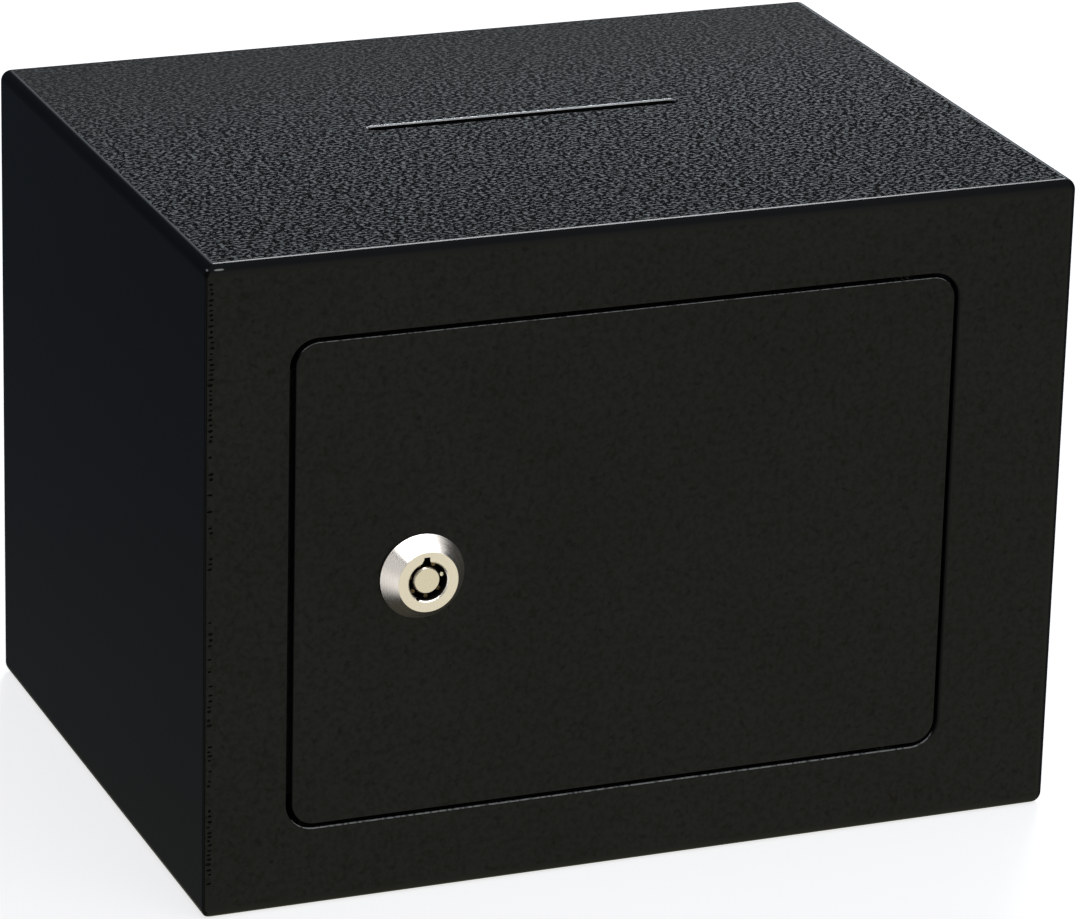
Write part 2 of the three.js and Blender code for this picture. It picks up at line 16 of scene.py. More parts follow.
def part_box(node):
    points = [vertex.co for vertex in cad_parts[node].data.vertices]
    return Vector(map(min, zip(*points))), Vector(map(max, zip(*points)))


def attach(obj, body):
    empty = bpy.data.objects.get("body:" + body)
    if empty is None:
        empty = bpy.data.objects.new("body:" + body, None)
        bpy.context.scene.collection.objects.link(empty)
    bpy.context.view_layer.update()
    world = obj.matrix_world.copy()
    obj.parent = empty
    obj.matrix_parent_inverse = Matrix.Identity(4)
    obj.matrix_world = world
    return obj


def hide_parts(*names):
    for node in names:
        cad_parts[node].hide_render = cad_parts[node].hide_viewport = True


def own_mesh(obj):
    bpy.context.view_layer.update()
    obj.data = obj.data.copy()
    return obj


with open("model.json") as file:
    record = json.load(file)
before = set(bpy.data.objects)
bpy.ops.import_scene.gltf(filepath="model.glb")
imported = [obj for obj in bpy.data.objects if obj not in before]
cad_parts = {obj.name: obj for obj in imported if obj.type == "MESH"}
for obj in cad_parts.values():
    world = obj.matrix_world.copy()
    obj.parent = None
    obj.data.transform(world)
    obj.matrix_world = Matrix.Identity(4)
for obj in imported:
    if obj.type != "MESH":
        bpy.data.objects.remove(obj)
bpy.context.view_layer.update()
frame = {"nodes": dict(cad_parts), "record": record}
scene = bpy.context.scene

MM = 0.001

# ---------------------------------------------------------------- dimensions

SHEET = 1.2 * MM
BEND_R = 3.0 * MM
WELD_R, WELD_R_INSIDE = 0.6 * MM, 0.3 * MM
LIP_R = 0.9 * MM  # the doorway's edge on the hinge side
LIP_SHARE, SILL_SHARE = 0.3, 0.7  # of LIP_R, around the rest of the doorway and along its foot
SLOT_RIM_R = 0.5 * MM
EDGE_R, CAD_EDGE_R = 0.22 * MM, 0.15 * MM  # other edges of the sheet, and of the CAD pieces that stay
THROUGH = 5.0 * MM  # how far a cutting tool stands out on both sides of a sheet

SHELL_LOW, SHELL_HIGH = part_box("body_shell")
FRONT = SHELL_LOW.y
DOOR_LOW, DOOR_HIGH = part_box("door_plate")
DOOR_SIZE, DOOR_CENTRE = DOOR_HIGH - DOOR_LOW, (DOOR_HIGH + DOOR_LOW) / 2
DOOR_CORNER_R, DOOR_EDGE_R = 6.0 * MM, 0.3 * MM
DOOR_BACK_SHARE = 0.4  # of DOOR_EDGE_R, around the door's back and in its lock hole
GAP_LEFT, GAP_RIGHT, GAP_END, GAP_CORNER = 1.5 * MM, 1.0 * MM, 1.1 * MM, 1.2 * MM

SLOT_X, SLOT_Y = 2.0 * MM, 7.0 * MM
SLOT_LENGTH, SLOT_WIDTH = 85.0 * MM, 3.7 * MM

REAR_FLANGE = 16.0 * MM
REAR_OPENING_R = 4.0 * MM
ANCHOR_R = 5.0 * MM
ANCHOR_SPACING = 140.0 * MM

MAT_CELL, MAT_TRIM = 4.0 * MM, 0.1 * MM
MAT_FLUFF = 0.25 * MM  # room over the felt for its uneven top
MAT_CORNER_R, MAT_HOLE_R, MAT_EDGE_R = 4.0 * MM, 7.0 * MM, 0.4 * MM
MAT_WAVES = ((45.0, 0.12 * MM), (180.0, 0.08 * MM))  # noise scale and height

# The welder's marks on the front's left edge.
PATCH_LEG, PATCH_RAGGED, PATCH_BLUR = 9.0 * MM, 5.0 * MM, 0.3 * MM
PIT_INSET, PIT_R, PIT_REACH = 1.55 * MM, 0.5 * MM, 1.3 * MM
PITS_FROM = 4.5 * MM  # below the top
PITS_DENSE_ABOVE, PITS_DENSE_BELOW = 125.0 * MM, 30.0 * MM
PITS_DENSE, PITS_SPARSE = 0.9, 0.35  # share of the places that hold a pit

# Where the coat is chipped at the upper left corner: the middle and the half sizes of each spot.
CORNER = Vector((SHELL_LOW.x, FRONT, SHELL_HIGH.z))
CHIPS = (
    (CORNER + Vector((0.5, 0.6, -1.0)) * MM, (0.5 * MM, 1.2 * MM, 0.4 * MM)),
    (CORNER + Vector((3.6, 0.5, -1.2)) * MM, (1.3 * MM, 1.2 * MM, 0.2 * MM)),
)

# The tubular lock. Depths along Y are from the cabinet's front.
LOCK_LOW, LOCK_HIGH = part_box("lock_housing")
LOCK_X, LOCK_Z = (LOCK_LOW.x + LOCK_HIGH.x) / 2, (LOCK_LOW.z + LOCK_HIGH.z) / 2
LOCK_FACE = (LOCK_X, LOCK_LOW.y, LOCK_Z)
HEAD_R, FACE_R, HEAD_PROUD, HEAD_RIM = 11.0 * MM, 7.8 * MM, 5.0 * MM, 0.6 * MM
HEAD_SEAT, MOUTH_CHAMFER = 0.1 * MM, 0.3 * MM
MOUTH_R, BORE_R, SHOULDER = 5.0 * MM, 6.6 * MM, 2.5 * MM
BARREL_R, BARREL_END, BARREL_CHAMFER, BARREL_HOLE_R = 9.3 * MM, 16.0 * MM, 0.5 * MM, 9.6 * MM
NOTCH = (  # (x, z) from the lock's axis, in millimetres
    (-2.1, 4.3), (1.2, 4.3), (0.75, 4.95), (0.4, 5.4),
    (0.35, 6.5), (-1.2, 6.5), (-1.25, 5.9), (-1.75, 5.0),
)
NOTCH_DEPTHS = (-7.0 * MM, -1.0 * MM)
GROOVE_ANGLE, GROOVE_R, GROOVE_SUNK = math.radians(212), 0.75 * MM, 0.35 * MM
GROOVE_DEPTHS = (-7.0 * MM, -2.0 * MM)
POST_R, POST_CHAMFER = 3.6 * MM, 0.45 * MM
ROTOR_R, ROTOR_FRONT, ROTOR_BACK = BORE_R - 0.2 * MM, SHOULDER + 0.2 * MM, BARREL_END - 1.1 * MM
TAIL_R, TAIL_FLAT, TAIL_NECK = 4.0 * MM, 2.9 * MM, 1.2 * MM
TAIL_BORE_R, TAIL_BORE_DEPTH = 1.6 * MM, 9.0 * MM
PIN_R, PIN_NOSE, PIN_RING_R, PIN_COUNT = 0.65 * MM, 0.12 * MM, 4.3 * MM, 7
PIN_HOLE_R, PIN_HOLE_END = 0.77 * MM, 14.0 * MM
LIT_PIN = 1  # painted light: this pin gets bright metal as lit, the others dark brass as shaded
SPRING_TURNS, SPRING_WIRE_R, PIN_TRAVEL = 7, 0.11 * MM, 2.2 * MM
SPRING_CLOSED, SPRING_CLOSED_RISE = 0.06, 0.03  # each end's share of the turns and of the length

# ---------------------------------------------------------------- looks

NOISE_RANGE = (0.3, 0.7)
FLAT = (0.998, 0.9999)  # how squarely a surface faces along an axis, from a bend to a flat sheet
# Pale grey for the painted highlight on the rims that face up and forward, and for the chips in the coat.
HIGHLIGHT_AND_CHIP_GREY = (0.42, 0.43, 0.45, 1.0)
FADE_FROM, FADE_TO = -30.0 * MM, 80.0 * MM  # along Y, where the top's pebbles get fainter
COARSE_FROM, COARSE_TO = -85.0 * MM, -20.0 * MM  # along Y, where they are coarser
COAT_RELIEF = 0.11 * MM
METAL_RELIEF = 0.004 * MM
RING_RELIEF, RINGS_PER_METRE = 0.0008 * MM, 9000.0
# How soft the front edge of the painted shade inside the keyway is.
SHADE_BLUR = 0.8 * MM
LENGTHWAYS = (0.04, 1.0, 1.0)  # stretches a grain along X

CAMERA_AT = Vector((-0.53726, -1.35282, 0.61753))
CAMERA_AZIMUTH, CAMERA_DIP, CAMERA_ROLL = 21.88, 20.33, 1.44
CAMERA_LENS = 198.1
SENSOR = 36.0

FLOOR_HALF, FLOOR_DROP = 6.0, 0.02 * MM
FLOOR_WHITE, FLOOR_GLOW = 0.9, 0.75

WORLD_BASE = (0.045, 0.054, 0.068)
# Each patch of the world's light: its direction, its inner and outer angles in degrees, and its colour.
WORLD_LOBES = (
    ((0.35, -0.87, -0.35), 10, 68, (0.84, 0.81, 0.63)),  # pale warm table in front
    ((0.15, -0.42, 0.90), 20, 62, (0.33, 0.34, 0.37)),  # ceiling
    ((-0.87, -0.35, -0.35), 8, 34, (0.42, 0.40, 0.40)),  # pale wall on the left
    ((0.35, 0.68, 0.64), 4, 9, (15.0, 15.2, 15.4)),  # lamp behind and above
    ((0.45, 0.81, 0.38), 4, 24, (1.20, 1.30, 1.38)),  # its glow on the back wall
    ((0.10, 0.35, -0.93), 20, 55, (0.30, 0.29, 0.17)),  # olive table below
)

LOCK_LIGHT_DISTANCE = 0.8
# Each light on the lock: its name, direction, size, power and colour.
LOCK_LIGHTS = (
    ("lock_overhead", (0.19, 0.0, 0.98), (1.0, 2.2), 22.0, (1.0, 1.0, 1.0)),
    ("lock_left", (-0.99, 0.0, -0.12), (1.2, 1.6), 4.1, (1.0, 1.0, 0.97)),
)

# ---------------------------------------------------------------- mesh helpers


def add_object(name, mesh):
    """An object for a mesh or a bmesh, linked to the scene."""
    if isinstance(mesh, bmesh.types.BMesh):
        built = bpy.data.meshes.new(name)
        mesh.to_mesh(built)
        mesh.free()
        mesh = built
    piece = bpy.data.objects.new(name, mesh)
    scene.collection.objects.link(piece)
    return piece


def apply_modifiers(piece):
    """Keeps the mesh that the piece's modifiers make, and drops the modifiers."""
    graph = bpy.context.evaluated_depsgraph_get()
    made = bpy.data.meshes.new_from_object(piece.evaluated_get(graph))
    piece.modifiers.clear()
    old, piece.data = piece.data, made
    made.name = piece.name
    bpy.data.meshes.remove(old)
    return piece


def discard(piece):
    data = piece.data
    bpy.data.objects.remove(piece)
    if isinstance(data, bpy.types.Mesh):
        bpy.data.meshes.remove(data)


def rounded_rect(width, height, radius, centre=(0.0, 0.0), steps=8):
    """Points around a rectangle with round corners, counter-clockwise."""
    points = []
    for quarter, (sx, sy) in enumerate(((1, 1), (-1, 1), (-1, -1), (1, -1))):
        corner_x = centre[0] + sx * (width / 2 - radius)
        corner_y = centre[1] + sy * (height / 2 - radius)
        for step in range(steps + 1):
            angle = (quarter + step / steps) * math.pi / 2
            points.append((corner_x + radius * math.cos(angle), corner_y + radius * math.sin(angle)))
    return points


def ring(radius, steps=48, centre=(0.0, 0.0)):
    """Points around a circle, counter-clockwise."""
    angles = [2 * math.pi * step / steps for step in range(steps)]
    return [(centre[0] + radius * math.cos(a), centre[1] + radius * math.sin(a)) for a in angles]


XZ = Matrix(((1, 0, 0, 0), (0, 0, 1, 0), (0, 1, 0, 0), (0, 0, 0, 1)))  # drawn in X and Z, depth along Y
XY = Matrix.Identity(4)  # drawn in X and Y, depth along Z


def prism(name, outline, low, high, plane=XY):
    """A solid with that outline, from low to high along the third axis."""
    mesh = bmesh.new()
    bottom = [mesh.verts.new((x, y, low)) for x, y in outline]
    top = [mesh.verts.new((x, y, high)) for x, y in outline]
    mesh.faces.new(reversed(bottom))
    mesh.faces.new(top)
    for here in range(len(outline)):
        after = (here + 1) % len(outline)
        mesh.faces.new((bottom[here], bottom[after], top[after], top[here]))
    mesh.transform(plane)
    bmesh.ops.recalc_face_normals(mesh, faces=mesh.faces)
    return add_object(name, mesh)


def rounded(profile, radius, steps=4):
    """The closed profile with its corners rounded, each no further than a third of its shorter side."""
    points = []
    count = len(profile)
    for here in range(count):
        before, corner, after = (Vector(profile[(here + offset) % count]) for offset in (-1, 0, 1))
        back, ahead = before - corner, after - corner
        on_axis = corner.x < 1e-9
        if on_axis or back.angle(ahead) > math.radians(170):
            points.append(corner)
            continue
        reach = min(radius / math.tan(back.angle(ahead) / 2), back.length / 3, ahead.length / 3)
        start, end = corner + back.normalized() * reach, corner + ahead.normalized() * reach
        for step in range(steps + 1):
            t = step / steps
            points.append(start * (1 - t) ** 2 + corner * 2 * t * (1 - t) + end * t * t)
    return points


def revolve(name, profile, at, steps=96, edge=0.12 * MM):
    """A solid turned about an axis along Y through at, from a closed profile of (radius, depth) points."""
    mesh = bmesh.new()
    rings = []
    for radius, depth in rounded(profile, edge):
        if radius < 1e-9:
            rings.append([mesh.verts.new((at[0], at[1] + depth, at[2]))])
            continue
        around = ring(radius, steps, (at[0], at[2]))
        rings.append([mesh.verts.new((x, at[1] + depth, z)) for x, z in around])
    for here, ring_here in enumerate(rings):
        ring_next = rings[(here + 1) % len(rings)]
        if len(ring_here) == 1 and len(ring_next) == 1:
            continue
        for step in range(steps):
            after = (step + 1) % steps
            corners = [ring_here[step % len(ring_here)], ring_here[after % len(ring_here)]]
            corners += [ring_next[after % len(ring_next)], ring_next[step % len(ring_next)]]
            face = list(dict.fromkeys(corners))
            if len(face) > 2:
                mesh.faces.new(face)
    bmesh.ops.recalc_face_normals(mesh, faces=mesh.faces)
    return add_object(name, mesh)


def boolean(piece, tool, operation="DIFFERENCE"):
    modifier = piece.modifiers.new("cut", "BOOLEAN")
    modifier.operation = operation
    modifier.object = tool
    modifier.solver = "EXACT"
    apply_modifiers(piece)
    discard(tool)
    return piece


def lies_at(edge, axis, level):
    """True if both of the edge's ends are at that level along X (0), Y (1) or Z (2)."""
    return all(abs(end.co[axis] - level) < 0.01 * MM for end in edge.verts)


def edge_weights(piece, weight_of):
    """Sets the bevel's share of each edge that bends by more than 25 degrees from weight_of(edge)."""
    mesh = bmesh.new()
    mesh.from_mesh(piece.data)
    layers = mesh.edges.layers.float
    layer = layers.get("bevel_weight_edge") or layers.new("bevel_weight_edge")
    for edge in mesh.edges:
        is_corner = len(edge.link_faces) == 2 and edge.calc_face_angle(0) > math.radians(25)
        edge[layer] = weight_of(edge) if is_corner else 0.0
    mesh.to_mesh(piece.data)
    mesh.free()


def bevel(piece, width, segments, limit="ANGLE", clamp=True):
    modifier = piece.modifiers.new("edges", "BEVEL")
    modifier.width = width
    modifier.segments = segments
    modifier.limit_method = limit
    modifier.angle_limit = math.radians(35)
    modifier.use_clamp_overlap = clamp
    modifier.harden_normals = False
    return modifier


def smooth(piece):
    """Smooth shading, with edges of more than 40 degrees kept sharp and large flat faces kept flat."""
    for polygon in piece.data.polygons:
        polygon.use_smooth = True
    piece.data.set_sharp_from_angle(angle=math.radians(40))
    modifier = piece.modifiers.new("normals", "WEIGHTED_NORMAL")
    modifier.weight = 100
    modifier.keep_sharp = True
    return piece


def finish_piece(piece, body, node, material):
    """Gives a piece its material and body, and hides the CAD node that it stands for."""
    piece.data.materials.clear()
    piece.data.materials.append(material)
    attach(piece, body)
    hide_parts(node)
    return piece


# ---------------------------------------------------------------- materials


def connect(tree, target, inputs):
    """Sets a shader node's inputs. An input given as a socket is linked."""
    for key, value in inputs.items():
        socket = target.inputs[key]
        if isinstance(value, bpy.types.NodeSocket):
            tree.links.new(value, socket)
        else:
            socket.default_value = value


def new_material(name):
    material = bpy.data.materials.new(name)
    material.use_nodes = True
    tree = material.node_tree
    return material, tree, tree.nodes["Principled BSDF"]


def node(tree, kind, inputs=None, **settings):
    """A shader node with its settings and inputs."""
    made = tree.nodes.new(kind)
    for key, value in settings.items():
        setattr(made, key, value)
    connect(tree, made, inputs or {})
    return made


def object_coordinates(tree):
    return node(tree, "ShaderNodeTexCoord").outputs["Object"]


def axes_of(tree, vector):
    """The vector's parts, as sockets named X, Y and Z."""
    return node(tree, "ShaderNodeSeparateXYZ", {0: vector}).outputs


def vector_math(tree, operation, *vectors):
    """The vector that an operation makes of one or two vectors."""
    return node(tree, "ShaderNodeVectorMath", dict(enumerate(vectors)), operation=operation).outputs["Vector"]


def length(tree, vector):
    return node(tree, "ShaderNodeVectorMath", {0: vector}, operation="LENGTH").outputs["Value"]


def scaled(tree, vector, factor):
    return node(tree, "ShaderNodeVectorMath", {0: vector, "Scale": factor}, operation="SCALE").outputs[0]


def band(tree, value, low, high, bottom=0.0, top=1.0):
    """The value's place between low and high, smoothed, as a number from bottom to top."""
    return node(tree, "ShaderNodeMapRange", {"Value": value, 1: low, 2: high, 3: bottom, 4: top},
                interpolation_type="SMOOTHSTEP").outputs[0]


def spread(tree, grain, bottom, top):
    """A noise's place in its usual range, as a number from bottom to top."""
    return band(tree, grain, *NOISE_RANGE, bottom, top)


def noise(tree, place, scale, detail=1.0, roughness=0.5, distortion=0.0):
    """Cloudy grain with that many grains to the metre."""
    return node(tree, "ShaderNodeTexNoise", {
        "Vector": place, "Scale": scale, "Detail": detail, "Roughness": roughness, "Distortion": distortion,
    }).outputs["Fac"]


def times(tree, first, second, plus=0.0):
    """first times second, plus a third number."""
    return node(tree, "ShaderNodeMath", {0: first, 1: second, 2: plus}, operation="MULTIPLY_ADD").outputs[0]


def product(tree, first, *factors):
    for factor in factors:
        first = times(tree, first, factor)
    return first


def without(tree, share):
    """1 minus the share."""
    return times(tree, share, -1.0, 1.0)


def relief(tree, height, distance, strength=1.0):
    """The normal of a surface embossed by the height times the distance."""
    bump = node(tree, "ShaderNodeBump", {"Strength": strength, "Distance": distance, "Height": height})
    return bump.outputs[0]


def corner_patch(tree, place):
    """1 on the smooth triangle that the welder's grinding left at the front's lower left corner."""
    axes = axes_of(tree, place)
    ragged = noise(tree, place, scale=350.0, detail=3.0)
    reach = times(tree, ragged, -PATCH_RAGGED, times(tree, axes["X"], 1.0, axes["Z"]))
    edge = SHELL_LOW.x + PATCH_LEG - PATCH_RAGGED / 2
    return band(tree, reach, edge - PATCH_BLUR, edge + PATCH_BLUR, 1.0, 0.0)


def highlight_rims(tree, place, facing):
    """1 on the small rounded edges that face up and forward, in broken lines: a painted highlight, laid as
    grey coat rubbed thin.

    The box's own bend along the top of the front gets none of it, and neither does the welded edge on the
    left.
    """
    at, normal = axes_of(tree, place), axes_of(tree, facing)
    tilted = times(tree, band(tree, normal["Z"], 0.45, 0.65), band(tree, normal["Z"], 0.93, 0.98, 1.0, 0.0))
    forward = band(tree, normal["Y"], -0.3, -0.15, 1.0, 0.0)
    off_weld = band(tree, at["X"], SHELL_LOW.x + 6 * MM, SHELL_LOW.x + 7 * MM)
    high = band(tree, at["Z"], SHELL_HIGH.z - 10 * MM, SHELL_HIGH.z - 9 * MM)
    near = band(tree, at["Y"], FRONT + 5 * MM, FRONT + 6 * MM, 1.0, 0.0)
    off_bend = without(tree, times(tree, high, near))
    broken = band(tree, noise(tree, place, scale=900.0, detail=2.0), 0.35, 0.55, 0.25, 1.0)
    return product(tree, tilted, forward, off_weld, off_bend, broken)


def chip(tree, place, at, size):
    """1 in a small spot where the coat is knocked off."""
    offset = vector_math(tree, "SUBTRACT", place, at)
    return band(tree, length(tree, vector_math(tree, "DIVIDE", offset, size)), 0.7, 1.1, 1.0, 0.0)


def powder_coat(name, colour, roughness):
    """Black powder coat: a pebbled skin on top, shallow soft dimples on the front and smooth bends and sides.

    The pebbles have flat shiny tops and dull valleys between them, painted with shade like the front's
    dimples and specks, and they get fainter towards the back.
    """
    material, tree, shader = new_material(name)
    coordinates = node(tree, "ShaderNodeTexCoord").outputs
    place, facing = coordinates["Object"], coordinates["Normal"]
    depth = axes_of(tree, place)["Y"]

    # Shares of each kind of surface.
    sides = axes_of(tree, vector_math(tree, "ABSOLUTE", facing))
    sideways, forward, upward = (band(tree, sides[axis], *FLAT) for axis in "XYZ")
    forward = times(tree, forward, without(tree, corner_patch(tree, place)))
    on_top = band(tree, sides["Z"], 0.6, 0.8)
    fading = band(tree, depth, FADE_FROM, FADE_TO, 1.0, 0.3)

    # The skin's grain, and how deep it is.
    wide = vector_math(tree, "MULTIPLY", place, (0.55, 0.95, 1.0))
    pebbles = band(tree, noise(tree, wide, scale=1500.0, distortion=0.2), 0.48, 0.58)
    dimples = noise(tree, place, scale=700.0, detail=2.0, roughness=0.6)
    specks = noise(tree, place, scale=440.0, detail=2.0, roughness=0.6, distortion=0.6)
    specks = band(tree, specks, 0.27, 0.49, 1.0, 0.0)
    height = node(tree, "ShaderNodeMix", {
        "Factor": on_top, "A": times(tree, specks, -0.6, dimples), "B": pebbles,
    }).outputs["Result"]
    coarse = times(tree, fading, band(tree, depth, COARSE_FROM, COARSE_TO, 2.2, 1.0))
    strength = times(tree, upward, coarse, times(tree, forward, 0.7, times(tree, sideways, 0.1)))

    # Painted shade, a darker colour, in the top's valleys, which are also duller, and in the front's dimples
    # and specks; clouds of tone; a painted highlight of bare grey on the rims that face up and forward; and
    # chips.
    shaded_valleys = product(tree, upward, fading, without(tree, pebbles))
    clouds = spread(tree, noise(tree, place, scale=25.0, detail=2.0), 0.92, 1.08)
    dimple_shade = times(tree, specks, -0.55, band(tree, dimples, 0.34, 0.62, -0.30, 0.30))
    shade = times(tree, clouds, times(tree, shaded_valleys, -0.97, times(tree, forward, dimple_shade, 1.0)))
    worn = times(tree, upward, times(tree, fading, -0.5, 0.5), roughness)
    highlight_and_chips = highlight_rims(tree, place, facing)
    for at, size in CHIPS:
        highlight_and_chips = times(tree, chip(tree, place, at, size), 1.6, highlight_and_chips)
    paint = node(tree, "ShaderNodeMix", {"Factor": highlight_and_chips, "A": scaled(tree, colour, shade), "B": HIGHLIGHT_AND_CHIP_GREY},
                 data_type="RGBA")

    connect(tree, shader, {
        "Base Color": paint.outputs["Result"],
        "Normal": relief(tree, height, COAT_RELIEF, strength),
        "Roughness": times(tree, shaded_valleys, 0.85, worn),
        "Specular IOR Level": 0.12,
    })
    return material


def metal(name, colour, roughness, grain=900.0, stretch=(1.0, 1.0, 1.0), tint=0.08):
    """Bare or plated metal with fine grain, stretched into brush marks, and slow changes of tone."""
    material, tree, shader = new_material(name)
    place = object_coordinates(tree)
    marks = noise(tree, vector_math(tree, "MULTIPLY", place, stretch), scale=grain, detail=3.0, roughness=0.6)
    slow = noise(tree, place, scale=60.0, detail=2.0)
    shade = times(tree, spread(tree, slow, 1.0 - tint, 1.0 + tint),
                  spread(tree, marks, 1.0 - tint / 2, 1.0 + tint / 2))
    low, high = NOISE_RANGE
    rough = node(tree, "ShaderNodeMapRange", {
        "Value": marks, 1: low, 2: high, 3: roughness * 0.75, 4: roughness * 1.3,
    })
    connect(tree, shader, {
        "Base Color": scaled(tree, colour, shade),
        "Metallic": 1.0,
        "Normal": relief(tree, marks, METAL_RELIEF),
        "Roughness": rough.outputs[0],
    })
    return material


def lock_metal(name, colour, roughness, lit_depth):
    """Turned metal with rings around the lock's axis, and painted shade inside the keyway behind its lit
    front: near black, and rougher.
    """
    material, tree, shader = new_material(name)
    place = object_coordinates(tree)
    offset = vector_math(tree, "SUBTRACT", place, LOCK_FACE)
    reach = length(tree, vector_math(tree, "MULTIPLY", offset, (1.0, 0.0, 1.0)))
    rings = node(tree, "ShaderNodeTexNoise", {
        "W": times(tree, reach, RINGS_PER_METRE), "Scale": 1.0, "Detail": 2.0,
    }, noise_dimensions="1D").outputs["Fac"]
    grain = noise(tree, place, scale=2600.0, detail=2.0)
    shade_front = LOCK_LOW.y + lit_depth
    # Painted shade: near black and rougher inside the bore, behind its lit front.
    keyway_shade = times(tree, band(tree, axes_of(tree, place)["Y"], shade_front, shade_front + SHADE_BLUR),
                 band(tree, reach, BORE_R, BORE_R + 0.2 * MM, 1.0, 0.0))
    shade = times(tree, spread(tree, grain, 0.975, 1.02), times(tree, keyway_shade, -0.95, 1.0))
    connect(tree, shader, {
        "Base Color": scaled(tree, colour, shade),
        "Metallic": 1.0,
        "Normal": relief(tree, rings, RING_RELIEF),
        "Roughness": times(tree, keyway_shade, 0.25, times(tree, spread(tree, rings, 0.8, 1.2), roughness)),
    })
    return material


def felt(name, colour):
    """Needle felt: matt matted fibres with a soft sheen and a few lighter hairs."""
    material, tree, shader = new_material(name)
    place = object_coordinates(tree)
    fibres = noise(tree, place, scale=1400.0, detail=3.0, roughness=0.65, distortion=1.5)
    tufts = noise(tree, place, scale=260.0, detail=2.0)
    hairs = noise(tree, place, scale=2600.0, detail=2.0, roughness=0.6, distortion=3.0)
    shade = times(tree, spread(tree, fibres, 0.6, 1.35), spread(tree, tufts, 0.85, 1.15),
                  band(tree, hairs, 0.62, 0.72, 0.0, 1.6))
    height = times(tree, fibres, 0.5, times(tree, tufts, 0.5))
    connect(tree, shader, {
        "Base Color": scaled(tree, colour, shade),
        "Normal": relief(tree, height, 0.5 * MM, 0.8),
        "Roughness": 0.95,
        "Specular IOR Level": 0.2,
        "Sheen Weight": 0.25,
        "Sheen Roughness": 0.5,
    })
    return material


def nylon(name, colour):
    """Natural moulded nylon: milky, with a faint mould texture."""
    material, tree, shader = new_material(name)
    place = object_coordinates(tree)
    grain = noise(tree, place, scale=1800.0, detail=2.0)
    cloudy = noise(tree, place, scale=300.0, detail=2.0)
    connect(tree, shader, {
        "Base Color": scaled(tree, colour, spread(tree, cloudy, 0.93, 1.04)),
        "Normal": relief(tree, grain, 0.02 * MM, 0.5),
        "Roughness": spread(tree, grain, 0.38, 0.52),
        "Subsurface Weight": 0.15,
        "Subsurface Radius": (MM, MM, MM),
    })
    return material


MATERIALS = {
    "black_paint": powder_coat("black_powder_coat", (0.010, 0.0105, 0.0115), 0.15),
    "felt": felt("needle_felt", (0.045, 0.046, 0.05)),
    "steel": metal("bright_steel", (0.55, 0.56, 0.57), 0.26, grain=2500.0),
    "nylon": nylon("natural_nylon", (0.8, 0.78, 0.70)),
    "zinc": metal("zinc_plate", (0.60, 0.63, 0.65), 0.33, grain=700.0, stretch=LENGTHWAYS, tint=0.12),
    "chrome": lock_metal("satin_chrome", (0.82, 0.765, 0.71), 0.26, lit_depth=0.15 * MM),
    "nickel": lock_metal("satin_nickel", (0.76, 0.70, 0.61), 0.26, lit_depth=1.3 * MM),
    # Brass painted near black as the shade that falls on the pins deep in the keyway.
    "brass": metal("brass_painted_shade", (0.11, 0.08, 0.045), 0.35, grain=3000.0, tint=0.2),
    "bolt_chrome": metal("bolt_chrome", (0.76, 0.77, 0.78), 0.16, grain=1500.0, stretch=LENGTHWAYS),
    # Near black coat painted in the welder's hollows as shade.
    "pit_painted_shade": powder_coat("pit_painted_shade", (0.0015, 0.0015, 0.0016), 0.6),
    # Pale metal painted on the coin slot's rear rim as a highlight.
    "rim_painted_highlight": metal("rim_painted_highlight", (0.78, 0.79, 0.80), 0.45),
    # Bright metal for the one pin that is painted as lit.
    "lit_pin_nickel": metal("lit_pin_nickel", (0.78, 0.74, 0.64), 0.24, grain=3000.0),
}

# ---------------------------------------------------------------- cabinet


def folded_block(name, shrink):
    """The folded box's outside, or its inside once shrunk by the sheet.

    The upright edge at the front left is welded, so it is sharper than the bends.
    """
    low = SHELL_LOW + Vector((shrink,) * 3)
    high = SHELL_HIGH - Vector((shrink,) * 3)
    mesh = bmesh.new()
    bmesh.ops.create_cube(mesh, size=1.0)
    bmesh.ops.scale(mesh, vec=high - low, verts=mesh.verts)
    bmesh.ops.translate(mesh, vec=(high + low) / 2, verts=mesh.verts)
    layer = mesh.edges.layers.float.new("bevel_weight_edge")
    bend = BEND_R - shrink
    weld = max(WELD_R - shrink, WELD_R_INSIDE)
    for edge in mesh.edges:
        xs, ys = ([v.co[axis] for v in edge.verts] for axis in (0, 1))
        is_weld = max(xs) < low.x + MM and max(ys) < low.y + MM
        edge[layer] = weld / bend if is_weld else 1.0
    block = add_object(name, mesh)
    bevel(block, bend, 8, "WEIGHT", clamp=False)
    return apply_modifiers(block)


def doorway(name, grow, low, high):
    """The door's opening as a solid, grown outwards, from low to high along Y."""
    outline = rounded_rect(
        DOOR_SIZE.x + GAP_LEFT + GAP_RIGHT + 2 * grow,
        DOOR_SIZE.z + 2 * (GAP_END + grow),
        DOOR_CORNER_R + GAP_CORNER + grow,
        (DOOR_CENTRE.x + (GAP_RIGHT - GAP_LEFT) / 2, DOOR_CENTRE.z),
        steps=12,
    )
    return prism(name, outline, low, high, XZ)


